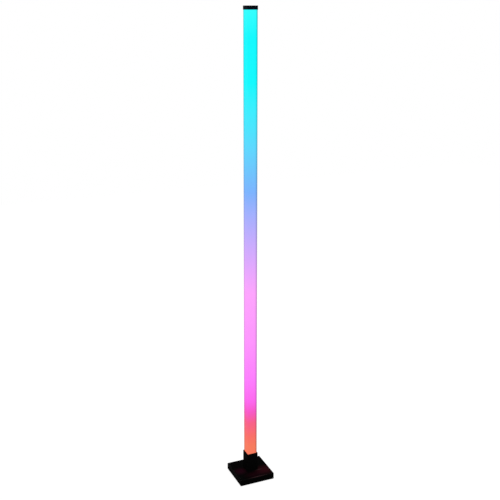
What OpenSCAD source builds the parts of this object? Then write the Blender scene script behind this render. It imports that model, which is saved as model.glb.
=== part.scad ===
// Corner floor lamp: a two-sided light column that stands in a socket on a weighted square base.
// Z is up, and the origin is the centre of the base on the floor. The lit faces look towards
// -X and -Y, and the dark back profile closes the +X and +Y sides. Sizes are in millimetres.

/* [Overall] */
// Height from the floor to the top of the cap
lamp_h = 1400; // [900:10:1800]

/* [Base] */
// Side of the square base
base_w = 110; // [100:1:140]
// Height of the base's top face above the floor
base_h = 20.5; // [16:0.5:22]
// Thickness of the cover's sides and top
cover_wall = 2; // [1.6:0.1:2.2]
// Chamfer along the cover's top edges
cover_chamfer = 1.2; // [0.4:0.1:1.4]
// Radius of the cover's upright edges
cover_edge_r = 1.2; // [0.6:0.2:3]
// Height of the cover's lower rim above the floor
rim_gap = 1; // [0.6:0.1:1.3]
// Outer diameter of the posts inside the cover that take its screws
cover_boss_d = 9; // [7:0.5:10]
// Thickness of the bottom plate
plate_t = 3; // [2.8:0.1:3.3]

/* [Feet] */
// Diameter of a rubber foot
foot_d = 18; // [14:0.5:19]
// Thickness of a rubber foot
foot_t = 2.5; // [2.2:0.1:2.8]
// Hole through a foot for its screw's head
foot_hole_d = 7.5; // [7:0.1:9]
// Width of the ring groove in a foot's sole
foot_groove_w = 1.2; // [0.8:0.1:1.6]
// Depth of that groove
foot_groove_d = 0.6; // [0.3:0.1:1]
// Distance from the base's side to the middle of a foot
foot_inset = 12.5; // [12:0.5:15]
// Length of a cover screw, which passes through a foot
cover_screw_l = 9; // [7:0.5:10]

/* [Socket] */
// Height of the socket above the base's top face
socket_h = 58; // [30:0.5:90]
// Thickness of the socket's walls
socket_wall = 2.6; // [1.2:0.1:3]
// Radius of the socket's upright outer edges
socket_edge_r = 1.5; // [0.8:0.1:2]
// Chamfer round the socket's rim
socket_chamfer = 0.4; // [0.2:0.1:0.8]
// Side of the flange under the cover
flange_w = 50; // [48:1:52]
// Thickness of the flange, which also floors the socket
flange_t = 3; // [2.4:0.1:3.6]
// Distance from the flange's edge to a flange screw
flange_screw_inset = 4; // [3.6:0.1:4.4]
// Length of a screw that holds the column down
column_screw_l = 16; // [10:1:24]

/* [Column] */
// Side of the square light column
bar_w = 29; // [28.5:0.5:32]
// Wall of the back profile
spine_wall = 1.6; // [1.3:0.1:1.9]
// Width of the dark lip beside each lit face
edge_lip = 1.2; // [0.8:0.1:1.3]
// Radius of the back profile's outer corner
spine_edge_r = 1.5; // [0.8:0.1:2]
// Width of the slanted web that carries the light strip
web_w = 13; // [12:0.5:14]
// Thickness of the slanted web
web_t = 1.4; // [1:0.1:1.8]
// Distance of a screw channel's middle from the column's centre line, along its wall
channel_along = 1.5; // [0:0.5:2.5]
// Wall round a screw channel
channel_wall = 1.1; // [0.9:0.1:1.3]
// Width of the slit along a screw channel
channel_slit = 1.4; // [1:0.1:1.8]

/* [Diffuser] */
// Wall of the diffuser
diffuser_t = 1.5; // [1.2:0.1:1.8]
// Radius of the diffuser's front edge
diffuser_edge_r = 2; // [1:0.1:2.5]
// Length of a snap leg behind the diffuser's wall
snap_len = 4.2; // [3.6:0.1:4.8]
// Thickness of a snap leg
snap_t = 1.2; // [1:0.1:1.5]
// Radius of the bead on a snap leg
bead_r = 0.5; // [0.3:0.1:0.6]
// Distance of the bead from the diffuser's inner face
bead_off = 2.6; // [2.2:0.1:2.9]
// Thickness of the rib that stops a snap leg
stop_rib_t = 1.2; // [0.8:0.1:1.6]
// Depth of that rib
stop_rib_d = 2.2; // [1.6:0.1:2.8]

/* [Top cap] */
// How far the cap stands out beyond each side of the column
cap_overhang = 0.75; // [0.5:0.05:2]
// Height of the cap above the column's end
cap_h = 10.5; // [8:0.5:20]
// Wall of the cap
cap_wall = 3; // [2.6:0.1:3.2]
// Chamfer round the cap's top
cap_chamfer = 0.6; // [0.3:0.1:1]
// How far a cap screw reaches into the column
cap_screw_reach = 8; // [5:1:14]
// Depth of the tongues that reach into the column
tongue_h = 5; // [3:0.5:10]
// Length of a tongue along its wall
tongue_w = 14; // [8:1:16]
// Thickness of a tongue
tongue_t = 1.5; // [1:0.1:2]

/* [Light strip] */
// Width of the light strip
strip_w = 10; // [8:0.5:11]
// Thickness of the light strip with its tape
strip_t = 0.5; // [0.3:0.1:0.8]
// Height of the strip's lower end above the socket's floor
strip_start = 26; // [22:1:36]
// Distance of the strip's upper end below the column's end
strip_end_gap = 12; // [8:1:20]
// Distance from one light chip to the next
chip_pitch = 33.3; // [25:0.1:50]
// Side of a light chip
chip_w = 5; // [3.5:0.1:5.5]
// Height of a light chip
chip_h = 1.6; // [1:0.1:2]
// Diameter of the round window in a chip
chip_window_d = 3.4; // [2.4:0.1:3.4]
// Depth of that window
chip_window_t = 0.4; // [0.2:0.1:0.8]

/* [Electronics] */
// Width of the controller board
board_w = 52; // [50:1:53]
// Depth of the controller board
board_d = 18.5; // [18:0.5:19]
// Thickness of the controller board
board_t = 1.6; // [1.2:0.1:1.8]
// Distance of the inlet's axis from the middle of the rear side
inlet_x = 13; // [12:0.5:14]
// Height of the inlet's and the button's axes above the board
axis_above_board = 1.9; // [1.6:0.1:2.2]
// Width of the inlet's body
inlet_w = 9; // [8:0.1:10]
// Height of the inlet's body
inlet_h = 8; // [7.6:0.1:9]
// Depth of the inlet
inlet_d = 13; // [12:0.5:13.5]
// Bore of the inlet
inlet_bore_d = 6.3; // [5.8:0.1:6.8]
// Diameter of the inlet's centre pin
inlet_pin_d = 2; // [1.6:0.1:2.5]
// Length of the inlet's centre pin
inlet_pin_l = 8; // [6:0.5:9]
// Hole in the cover in front of the inlet
inlet_hole_d = 8; // [6.8:0.1:9]

/* [Button] */
// Distance of the button's axis from the middle of the rear side
button_x = 13; // [12:0.5:14]
// Diameter of the button
button_d = 6.2; // [5:0.1:6.8]
// Diameter of the flange that keeps it in
button_flange_d = 7.8; // [7.4:0.1:8.6]
// Thickness of that flange
button_flange_t = 1.2; // [0.8:0.1:1.4]
// How far the button stands out of the cover
button_proud = 0.8; // [0.4:0.1:1.5]
// Depth of the dish in the button's end
button_dish = 0.25; // [0.1:0.05:0.35]
// How far the button travels
button_travel = 1; // [0.6:0.1:1.2]
// Width of the switch behind the button
switch_w = 6; // [5:0.5:7]
// Depth of the switch
switch_d = 4; // [3.5:0.1:4.5]
// Diameter of the switch's plunger
plunger_d = 2.6; // [2:0.1:2.8]

/* [Wires] */
// Diameter of the wire bundle
wire_d = 3; // [2:0.1:3.4]
// Distance of the grommet from the column's centre line, along X and along Y
grommet_xy = 2; // [1:0.5:3]
// Diameter of the grommet's neck
grommet_neck_d = 7; // [6:0.1:7.5]
// Diameter of the grommet's flanges
grommet_flange_d = 9; // [8.5:0.1:10]

/* [Fits] */
// Gap round a piece that slots into a pocket
slot_gap = 0.3; // [0.2:0.05:0.4]
// Gap between the snapped profiles, and round a foot in its recess
snap_gap = 0.1; // [0.05:0.01:0.15]
// Gap between the column and the socket
socket_gap = 0.2; // [0.1:0.05:0.3]
// Gap round a screw in its thread
thread_gap = 0.05; // [0.02:0.01:0.1]
// Gap round a screw in a clear hole
screw_gap = 0.25; // [0.15:0.05:0.35]
// Gap round the button and the plunger
slide_gap = 0.1; // [0.05:0.01:0.15]

/* [Hidden] */
$fn = 32;
// How far joined solids reach into each other and the light strip stays off its web, and how far
// a cut runs past a face
tiny = 0.01;
more = 1;

// Screw sizes: shank, head and head height of M2.5, M3 and M4
m25_d = 2.5;
m25_head_d = 4.5;
m25_head_h = 1.6;
m3_d = 3;
m3_head_d = 6;
m3_head_h = 1.6;
m4_d = 4;
m4_head_d = 7.5;
m4_head_h = 2.2;

// Heights through the base
plate_top = rim_gap + plate_t;
cover_under = base_h - cover_wall;
floor_under = cover_under - flange_t;
rim_z = base_h + socket_h;

// Widths through the base
cavity = base_w/2 - cover_wall;
ballast_half = cavity - slot_gap;
foot_at = base_w/2 - foot_inset;
flange_half = flange_w/2;
flange_screw_at = flange_half - flange_screw_inset;
socket_bore = bar_w/2 + socket_gap;
socket_half = socket_bore + socket_wall;
well_r = 17;

// Column
bar = bar_w/2;
bar_foot = cover_under;
bar_top = lamp_h - cap_h;
bar_len = bar_top - bar_foot;
inner = bar - spine_wall;
diffuser_in = -bar + diffuser_t;
diffuser_end = bar - edge_lip - snap_gap;
web_sum = 2*inner - web_w/sqrt(2);
web_face = web_sum/sqrt(2);
channel_r = m3_d/2 + thread_gap;
channel_at = inner - channel_r - 0.2;
snap_end = diffuser_in + snap_len;
snap_face = inner - snap_gap;
bead_at = diffuser_in + bead_off;

// Light strip
strip_z = bar_foot + strip_start;
strip_len = bar_top - strip_end_gap - strip_z;
strip_face = web_face - strip_t - tiny;
chip_first = 20;
chip_count = floor((strip_len - chip_first - chip_w)/chip_pitch) + 1;
plug_w = 6;
plug_t = 3.4;
plug_h = 12;
plug_lap = 6;
plug_z = strip_z - plug_h + plug_lap;

// Controller board, against the inside of the cover's rear (+Y) wall
board_edge_gap = 1;
board_rear = cavity - board_edge_gap;
board_front = board_rear - board_d;
axis_z = (plate_top + cover_under)/2;
board_top = axis_z - axis_above_board;
board_z = board_top - board_t;
bay_half = board_w/2 + board_edge_gap;
bay_front = board_front - board_edge_gap;
board_screw_x = board_w/2 - 3.5;
board_screw_at = [
    [-board_screw_x, board_front + 3], [board_screw_x, board_front + 3], [board_screw_x, board_rear - 3.5]
];
board_screw_l = 4.5;
board_post_d = 5;

// Inlet and button
inlet_front = cavity - slot_gap;
inlet_ear = 1.4;
inlet_ear_h = 1.2;
inlet_bore_depth = inlet_pin_l + 1.2;
button_stop_gap = 0.2;
button_back = cavity - button_stop_gap - button_flange_t;
button_notch_w = button_flange_d + 1.2;
switch_front = button_back - button_travel - 1.1;
switch_h = 2*axis_above_board;
plunger_in = 2.4;

// Wires
wire_slot_w = 9;
wire_low = plate_top + 0.5 + wire_d/2;
wire_bend = floor_under - 0.5 - wire_low;
wire_plug_w = 7;
wire_plug_d = 5;
wire_plug_h = 4.2;
wire_plug_z = board_top + wire_plug_h/2;

// Points along an arc round [cx, cy]
function arc(cx, cy, r, from, to, steps = 8) =
    [for (i = [0:steps]) let (a = from + (to - from)*i/steps) [cx + r*cos(a), cy + r*sin(a)]];

// Goes smoothly from 0 to 1
function ease(s) = s*s*(3 - 2*s);

// A shape and its twin on the other side of the column's diagonal
module both_walls() {
    children();
    mirror([1, -1, 0]) children();
}

// The four corners of a square of half side d
module at_corners(d) {
    for (x = [-d, d], y = [-d, d]) translate([x, y, 0]) children();
}

// Outline of a square with round corners
module round_square(half, r) {
    polygon(concat(
        arc(half - r, half - r, r, 0, 90), arc(-half + r, half - r, r, 90, 180),
        arc(-half + r, -half + r, r, 180, 270), arc(half - r, -half + r, r, 270, 360)
    ));
}

// What a chamfer takes off the four top edges of a square block
module top_edge_cuts(half, z, c) {
    for (a = [0:90:270])
        rotate(a) translate([half, 0, z]) rotate([0, 45, 0])
            cube([c*sqrt(2), 2*half + 2*more, c*sqrt(2)], center = true);
}

// A screw that points up from its head's bearing face, with a low round head below it
module pan_screw(d, l, head_d, head_h) {
    chamfer = 0.3*head_h;
    rotate_extrude() polygon([
        [0, -head_h], [head_d/2 - chamfer, -head_h], [head_d/2, -head_h + chamfer],
        [head_d/2, 0], [d/2, 0], [d/2, l], [0, l]
    ]);
}

// A screw that points up from its flat head, which is sunk flush at z = 0
module sunk_screw(d, l, head_d, head_h) {
    rotate_extrude() polygon([[0, 0], [head_d/2, 0], [d/2, head_h], [d/2, l], [0, l]]);
}

// The hole for a sunk screw
module sunk_hole(d, l, head_d, head_h, gap) {
    rotate_extrude() polygon([
        [0, -more], [head_d/2 + gap, -more], [head_d/2 + gap, 0],
        [d/2 + gap, head_h], [d/2 + gap, l], [0, l]
    ]);
}

// ---- Base ----

module base_cover() {
    color("#151517") difference() {
        union() {
            difference() {
                translate([0, 0, rim_gap]) linear_extrude(base_h - rim_gap)
                    round_square(base_w/2, cover_edge_r);
                translate([-cavity, -cavity, rim_gap - more])
                    cube([2*cavity, 2*cavity, cover_under - rim_gap + more]);
            }
            at_corners(foot_at) translate([0, 0, plate_top])
                cylinder(d = cover_boss_d, h = cover_under - plate_top + tiny);
        }
        top_edge_cuts(base_w/2, base_h, cover_chamfer);
        // Square window for the socket
        translate([0, 0, cover_under - more])
            linear_extrude(cover_wall + 2*more) round_square(socket_half + snap_gap, socket_edge_r);
        // Pilot holes in the posts
        at_corners(foot_at) translate([0, 0, foot_t])
            cylinder(d = m3_d + 2*thread_gap, h = cover_screw_l + slot_gap);
        // Rear openings for the inlet and the button
        translate([-inlet_x, cavity - more, axis_z]) rotate([-90, 0, 0])
            cylinder(d = inlet_hole_d, h = cover_wall + 2*more);
        translate([button_x, cavity - more, axis_z]) rotate([-90, 0, 0])
            cylinder(d = button_d + 2*slide_gap, h = cover_wall + 2*more);
    }
}

module ballast_block() {
    color("#3c3d40") difference() {
        translate([-ballast_half, -ballast_half, plate_top])
            cube([2*ballast_half, 2*ballast_half, cover_under - plate_top]);
        // Recess for the socket's flange
        translate([0, 0, floor_under]) linear_extrude(flange_t + more)
            square(flange_w + 2*slot_gap, center = true);
        // Well for the column's screws and the wires
        translate([0, 0, plate_top - more]) cylinder(r = well_r, h = base_h, $fn = 64);
        // Bay for the controller board, open to the rear
        translate([-bay_half, bay_front, plate_top - more])
            cube([2*bay_half, ballast_half - bay_front + more, base_h]);
        // Slot for the wires, from the well to the bay
        translate([grommet_xy - wire_slot_w/2, 0, plate_top - more])
            cube([wire_slot_w, bay_front + more, base_h]);
        // Holes that slide over the cover's posts
        at_corners(foot_at) translate([0, 0, plate_top - more])
            cylinder(d = cover_boss_d + 2*slot_gap, h = base_h);
        // Sunk holes for the flange's screws
        at_corners(flange_screw_at) translate([0, 0, plate_top])
            sunk_hole(m4_d, base_h, m4_head_d, m4_head_h, screw_gap);
    }
}

module bottom_plate() {
    color("#1d1d1f") difference() {
        union() {
            translate([-ballast_half, -ballast_half, rim_gap])
                cube([2*ballast_half, 2*ballast_half, plate_t]);
            for (p = board_screw_at) translate([p[0], p[1], plate_top - tiny])
                cylinder(d = board_post_d, h = board_z - plate_top + tiny);
        }
        // Recesses for the feet, and holes for the cover's screws
        at_corners(foot_at) {
            translate([0, 0, rim_gap - more]) cylinder(d = foot_d + 2*snap_gap, h = foot_t - rim_gap + more);
            translate([0, 0, rim_gap - more]) cylinder(d = m3_d + 2*screw_gap, h = plate_t + 2*more);
        }
        // Pilot holes for the board's screws
        for (p = board_screw_at) translate([p[0], p[1], board_top - board_screw_l - slot_gap])
            cylinder(d = m25_d + 2*thread_gap, h = board_screw_l + slot_gap);
    }
}

module cover_screws() {
    color("#8f9296") at_corners(foot_at) translate([0, 0, foot_t])
        pan_screw(m3_d, cover_screw_l, m3_head_d, m3_head_h);
}

module rubber_feet() {
    edge = 0.4;
    groove_in = (foot_hole_d/2 + foot_d/2 - edge - foot_groove_w)/2;
    groove_out = groove_in + foot_groove_w;
    color("#26262a") at_corners(foot_at) rotate_extrude() polygon([
        [foot_hole_d/2, 0], [groove_in, 0], [groove_in, foot_groove_d], [groove_out, foot_groove_d],
        [groove_out, 0], [foot_d/2 - edge, 0], [foot_d/2, edge],
        [foot_d/2, foot_t], [foot_hole_d/2, foot_t]
    ]);
}

// ---- Socket ----

module socket_collar() {
    color("#111113") difference() {
        union() {
            translate([-flange_half, -flange_half, floor_under]) cube([flange_w, flange_w, flange_t]);
            translate([0, 0, cover_under - tiny]) linear_extrude(rim_z - cover_under + tiny)
                round_square(socket_half, socket_edge_r);
        }
        top_edge_cuts(socket_half, rim_z, socket_chamfer);
        // Square bore for the column
        translate([-socket_bore, -socket_bore, cover_under])
            cube([2*socket_bore, 2*socket_bore, socket_h + cover_wall + more]);
        // Threads for the flange's screws
        at_corners(flange_screw_at) translate([0, 0, floor_under - more])
            cylinder(d = m4_d + 2*thread_gap, h = flange_t + 2*more);
        // Clear holes for the column's screws
        both_walls() translate([-channel_along, channel_at, floor_under - more])
            cylinder(d = m3_d + 2*screw_gap, h = flange_t + 2*more);
        // Hole for the grommet
        translate([grommet_xy, grommet_xy, floor_under - more])
            cylinder(d = grommet_neck_d + 2*thread_gap, h = flange_t + 2*more);
    }
}

module socket_screws() {
    color("#8f9296") at_corners(flange_screw_at) translate([0, 0, plate_top])
        sunk_screw(m4_d, cover_under - plate_top - slot_gap, m4_head_d, m4_head_h);
}

module column_screws() {
    color("#8f9296") both_walls() translate([-channel_along, channel_at, floor_under])
        pan_screw(m3_d, column_screw_l, m3_head_d, m3_head_h);
}

module cable_grommet() {
    flange = 1;
    neck = grommet_neck_d/2;
    color("#2a2a2d") translate([grommet_xy, grommet_xy, 0]) rotate_extrude() polygon([
        [wire_d/2 + slide_gap, floor_under - flange], [grommet_flange_d/2, floor_under - flange],
        [grommet_flange_d/2, floor_under], [neck, floor_under], [neck, cover_under],
        [grommet_flange_d/2, cover_under], [grommet_flange_d/2, cover_under + flange],
        [wire_d/2 + slide_gap, cover_under + flange]
    ]);
}

// ---- Column ----

// Section of the back profile: two walls with lips, a slanted web, stops for the snap legs,
// and a screw channel on each wall
module spine_section() {
    difference() {
        union() {
            polygon(concat(
                [
                    [-bar, bar - edge_lip], [diffuser_in + snap_gap, bar - edge_lip],
                    [diffuser_in + snap_gap, inner], [inner, inner],
                    [inner, diffuser_in + snap_gap], [bar - edge_lip, diffuser_in + snap_gap],
                    [bar - edge_lip, -bar], [bar, -bar]
                ],
                arc(bar - spine_edge_r, bar - spine_edge_r, spine_edge_r, 0, 90),
                [[-bar, bar]]
            ));
            slanted_web();
            both_walls() {
                translate([-channel_along, channel_at]) circle(r = channel_r + channel_wall);
                translate([snap_end + slot_gap, inner - stop_rib_d]) square([stop_rib_t, stop_rib_d + tiny]);
            }
        }
        both_walls() {
            translate([-channel_along, channel_at]) circle(r = channel_r);
            translate([-channel_along - channel_slit/2, channel_at - channel_r - channel_wall - more])
                square([channel_slit, channel_r + channel_wall + more]);
            // Groove that the bead snaps into
            translate([bead_at, inner]) circle(r = bead_r + snap_gap);
        }
    }
}

module slanted_web() {
    reach = inner + spine_wall/2;
    back_sum = web_sum + web_t*sqrt(2);
    polygon([
        [reach, web_sum - reach], [reach, back_sum - reach],
        [back_sum - reach, reach], [web_sum - reach, reach]
    ]);
}

module spine_profile() {
    color("#18181b") translate([0, 0, bar_foot]) linear_extrude(bar_len) spine_section();
}

// Section of the diffuser: an L of even wall with a round front edge, and a snap leg with a bead
// at each end
module diffuser_section() {
    inner_r = 0.6;
    union() {
        polygon(concat(
            [[diffuser_end, -bar], [diffuser_end, diffuser_in]],
            arc(diffuser_in + inner_r, diffuser_in + inner_r, inner_r, 270, 180, 4),
            [[diffuser_in, diffuser_end], [-bar, diffuser_end]],
            arc(-bar + diffuser_edge_r, -bar + diffuser_edge_r, diffuser_edge_r, 180, 270)
        ));
        both_walls() {
            translate([diffuser_in - diffuser_t/2, snap_face - snap_t])
                square([snap_len + diffuser_t/2, snap_t]);
            translate([bead_at, snap_face]) circle(r = bead_r);
        }
    }
}

module diffuser_cover() {
    color("#e3b2fb") translate([0, 0, bar_foot]) linear_extrude(bar_len) diffuser_section();
}

// ---- Light strip ----

// Places things on the slanted web: x away from the column's front edge, y across the web
module on_web() {
    rotate(45) children();
}

module led_strip() {
    color("#f2f2ee") on_web() translate([strip_face, -strip_w/2, strip_z])
        cube([strip_t, strip_w, strip_len]);
}

module led_chips() {
    color("#fff6d8") on_web() for (i = [0:chip_count - 1])
        translate([strip_face - chip_h, 0, strip_z + chip_first + i*chip_pitch + chip_w/2]) difference() {
            translate([0, -chip_w/2, -chip_w/2]) cube([chip_h, chip_w, chip_w]);
            translate([-more, 0, 0]) rotate([0, 90, 0]) cylinder(d = chip_window_d, h = more + chip_window_t);
        }
}

module strip_connector() {
    color("#ededed") on_web() translate([strip_face - plug_t, -plug_w/2, plug_z])
        cube([plug_t, plug_w, plug_h]);
}

// ---- Top cap ----

module top_cap() {
    cap_half = bar + cap_overhang;
    cap_in = cap_half - cap_wall;
    boss_r = m3_head_d/2 + 0.8;
    tongue_face = diffuser_in + socket_gap;
    color("#131315") difference() {
        union() {
            difference() {
                translate([-cap_half, -cap_half, bar_top]) cube([2*cap_half, 2*cap_half, cap_h]);
                translate([-cap_in, -cap_in, bar_top - more])
                    cube([2*cap_in, 2*cap_in, cap_h - cap_wall + more]);
            }
            // Bosses that stand on the screw channels
            both_walls() translate([-channel_along, channel_at, bar_top])
                cylinder(r = boss_r, h = cap_h - cap_wall/2);
            // Tongues behind the lit walls
            both_walls() translate([tongue_face, -tongue_w/2, bar_top - tongue_h])
                cube([tongue_t, tongue_w, tongue_h + cap_h/2]);
        }
        top_edge_cuts(cap_half, lamp_h, cap_chamfer);
        both_walls() translate([-channel_along, channel_at, lamp_h]) mirror([0, 0, 1])
            sunk_hole(m3_d, cap_h + more, m3_head_d, m3_head_h, thread_gap);
    }
}

module top_cap_screws() {
    color("#2c2c30") both_walls() translate([-channel_along, channel_at, lamp_h]) mirror([0, 0, 1])
        sunk_screw(m3_d, cap_h + cap_screw_reach, m3_head_d, m3_head_h);
}

// ---- Electronics ----

module controller_board() {
    color("#1f5a3a") difference() {
        translate([-board_w/2, board_front, board_z]) cube([board_w, board_d, board_t]);
        // Notches for the inlet's body and the button's flange
        translate([-inlet_x - inlet_w/2 - slot_gap, inlet_front - inlet_d - slot_gap, board_z - more])
            cube([inlet_w + 2*slot_gap, inlet_d + 2*slot_gap, board_t + 2*more]);
        translate([button_x - button_notch_w/2, switch_front + 0.5, board_z - more])
            cube([button_notch_w, board_d, board_t + 2*more]);
        for (p = board_screw_at) translate([p[0], p[1], board_z - more])
            cylinder(d = m25_d + 2*screw_gap, h = board_t + 2*more);
    }
}

module board_screws() {
    color("#a6a8ab") for (p = board_screw_at) translate([p[0], p[1], board_top]) mirror([0, 0, 1])
        pan_screw(m25_d, board_screw_l, m25_head_d, m25_head_h);
}

module control_module() {
    can = [12, 10, 2.4];
    color("#b9bcc0") translate([grommet_xy - can[0]/2, board_rear - can[1] - 0.8, board_top]) cube(can);
}

module power_components() {
    can_d = 6;
    coil = [5, 4.6, 3];
    driver = [5, 4, 1.2];
    switch_chip = [3, 2.6, 1.1];
    color("#2f3033") {
        translate([-board_w/2 + can_d/2 + 0.4, board_rear - 6, board_top]) cylinder(d = can_d, h = 5.4);
        translate([-inlet_x - coil[0]/2 + 1.5, board_front + 0.2, board_top]) cube(coil);
        translate([button_x - driver[0]/2, board_front + 1.5, board_top]) cube(driver);
        for (i = [0:1]) translate([board_screw_x - 2.5, board_front + 5.7 + i*3.2, board_top])
            cube(switch_chip);
    }
}

module board_connector() {
    color("#ededed") translate([grommet_xy - wire_plug_w/2, board_front + 0.5, board_top])
        cube([wire_plug_w, wire_plug_d, wire_plug_h]);
}

module dc_inlet() {
    color("#1a1a1c") difference() {
        union() {
            translate([-inlet_x - inlet_w/2, inlet_front - inlet_d, axis_z - inlet_h/2])
                cube([inlet_w, inlet_d, inlet_h]);
            // Ears that rest on the board
            translate([-inlet_x - inlet_w/2 - inlet_ear, inlet_front - inlet_d + 1, board_top])
                cube([inlet_w + 2*inlet_ear, inlet_d - 3, inlet_ear_h]);
        }
        translate([-inlet_x, inlet_front - inlet_bore_depth, axis_z]) rotate([-90, 0, 0])
            cylinder(d = inlet_bore_d, h = inlet_bore_depth + more);
    }
}

module dc_inlet_pin() {
    tip = 0.3;
    color("#d9c27a") translate([-inlet_x, inlet_front - inlet_bore_depth, axis_z]) rotate([-90, 0, 0])
        rotate_extrude() polygon([
            [0, 0], [inlet_pin_d/2, 0], [inlet_pin_d/2, inlet_pin_l - tip],
            [inlet_pin_d/2 - tip, inlet_pin_l], [0, inlet_pin_l]
        ]);
}

// ---- Button ----

// The button's cap slides in the cover's rear wall, and its flange keeps it in
module power_button() {
    edge = 0.4;
    stem_l = base_w/2 + button_proud - button_back;
    dish_r = button_d/2 - 2*edge;
    dish_ball = (dish_r*dish_r + button_dish*button_dish)/(2*button_dish);
    dish = [
        for (i = [0:6]) let (x = dish_r*(1 - i/6))
            [x, stem_l - button_dish + dish_ball - sqrt(dish_ball*dish_ball - x*x)]
    ];
    color("#3a3a3e") translate([button_x, button_back, axis_z]) rotate([-90, 0, 0])
        rotate_extrude() polygon(concat([
            [0, 0], [button_flange_d/2, 0], [button_flange_d/2, button_flange_t],
            [button_d/2, button_flange_t], [button_d/2, stem_l - edge], [button_d/2 - edge, stem_l]
        ], dish));
}

module switch_body() {
    bore_depth = plunger_in + button_travel + 0.2;
    color("#202023") difference() {
        translate([button_x - switch_w/2, switch_front - switch_d, board_top])
            cube([switch_w, switch_d, switch_h]);
        translate([button_x, switch_front - bore_depth, axis_z]) rotate([-90, 0, 0])
            cylinder(d = plunger_d + 2*slide_gap, h = bore_depth + more);
    }
}

module switch_plunger() {
    color("#c9c9c4") translate([button_x, switch_front - plunger_in, axis_z]) rotate([-90, 0, 0])
        cylinder(d = plunger_d, h = button_back - switch_front + plunger_in);
}

// ---- Wires ----

// Route of the wires: down from the strip's plug, through the grommet, round a bend, and along
// the slot up to the board's connector
wire_plug_face = board_front + 0.5;
wire_top_xy = (strip_face - plug_t/2)/sqrt(2);
wire_drop = [
    for (i = [0:8]) let (s = i/8, xy = wire_top_xy + (grommet_xy - wire_top_xy)*ease(s))
        [xy, xy, plug_z + (cover_under + 2 - plug_z)*s]
];
wire_turn = [
    for (a = [0:18:90])
        [grommet_xy, grommet_xy + wire_bend*(1 - cos(a)), wire_low + wire_bend*(1 - sin(a))]
];
wire_rise = [
    for (i = [1:6]) let (s = i/6)
        [
            grommet_xy,
            grommet_xy + wire_bend + (wire_plug_face - grommet_xy - wire_bend)*s,
            wire_low + (wire_plug_z - wire_low)*ease(s)
        ]
];
wire_route = concat(wire_drop, wire_turn, wire_rise);

// A round tube of radius r along a route that never runs along X
module tube_along(route, r, sides = 8) {
    last = len(route) - 1;
    function unit(v) = v/norm(v);
    function heading(i) = i == 0 ? [0, 0, -1] : i == last ? [0, 1, 0] : unit(route[i + 1] - route[i - 1]);
    function across(t) = unit([1, 0, 0] - t[0]*t);
    rings = [
        for (i = [0:last]) let (t = heading(i), n = across(t), b = cross(t, n))
            for (k = [0:sides - 1]) let (a = 360*k/sides) route[i] + r*(cos(a)*n + sin(a)*b)
    ];
    sides_faces = [
        for (i = [0:last - 1], k = [0:sides - 1])
            let (p = i*sides + k, q = i*sides + (k + 1)%sides)
                each [[p, p + sides, q], [q, p + sides, q + sides]]
    ];
    ends = [[for (k = [0:sides - 1]) k], [for (k = [sides - 1:-1:0]) last*sides + k]];
    polyhedron(points = rings, faces = concat(sides_faces, ends));
}

module wire_harness() {
    color("#e8e8e8") tube_along(wire_route, wire_d/2);
}

base_cover();
ballast_block();
bottom_plate();
cover_screws();
rubber_feet();
socket_collar();
socket_screws();
column_screws();
cable_grommet();
spine_profile();
diffuser_cover();
led_strip();
led_chips();
strip_connector();
top_cap();
top_cap_screws();
controller_board();
board_screws();
control_module();
power_components();
board_connector();
dc_inlet();
dc_inlet_pin();
power_button();
switch_body();
switch_plunger();
wire_harness();
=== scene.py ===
import math

import bmesh
import bpy
from mathutils import Matrix, Vector

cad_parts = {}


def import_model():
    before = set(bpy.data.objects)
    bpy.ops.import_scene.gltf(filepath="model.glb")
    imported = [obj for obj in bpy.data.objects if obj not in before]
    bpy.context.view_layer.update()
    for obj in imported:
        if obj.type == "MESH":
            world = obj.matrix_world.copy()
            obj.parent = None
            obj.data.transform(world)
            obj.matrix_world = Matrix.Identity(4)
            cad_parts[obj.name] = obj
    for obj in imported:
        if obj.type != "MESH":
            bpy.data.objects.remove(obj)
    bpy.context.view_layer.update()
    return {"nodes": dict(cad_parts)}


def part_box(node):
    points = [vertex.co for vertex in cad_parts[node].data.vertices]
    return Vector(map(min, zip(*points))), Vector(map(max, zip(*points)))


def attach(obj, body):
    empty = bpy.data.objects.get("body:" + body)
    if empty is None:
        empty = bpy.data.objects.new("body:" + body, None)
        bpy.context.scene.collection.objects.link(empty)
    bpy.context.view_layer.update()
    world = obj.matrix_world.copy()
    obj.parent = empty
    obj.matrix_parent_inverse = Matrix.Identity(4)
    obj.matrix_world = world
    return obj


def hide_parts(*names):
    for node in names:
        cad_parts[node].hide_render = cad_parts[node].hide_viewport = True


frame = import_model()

nodes = frame["nodes"]
MM = 0.001

# ---- Sizes in metres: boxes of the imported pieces, and the walls, edges and holes between them ----

BASE_LOW, BASE_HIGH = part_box("base_cover")
SOCKET_LOW, SOCKET_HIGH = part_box("socket_collar")
SPINE_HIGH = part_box("spine_profile")[1]
DIFFUSER_LOW, DIFFUSER_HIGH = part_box("diffuser_cover")
CAP_LOW, CAP_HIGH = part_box("top_cap")
FEET_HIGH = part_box("rubber_feet")[1]
PIN_LOW, PIN_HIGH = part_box("dc_inlet_pin")
BUTTON_LOW, BUTTON_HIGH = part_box("power_button")
CHANNEL_SCREWS_LOW, CHANNEL_SCREWS_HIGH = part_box("column_screws")

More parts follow.
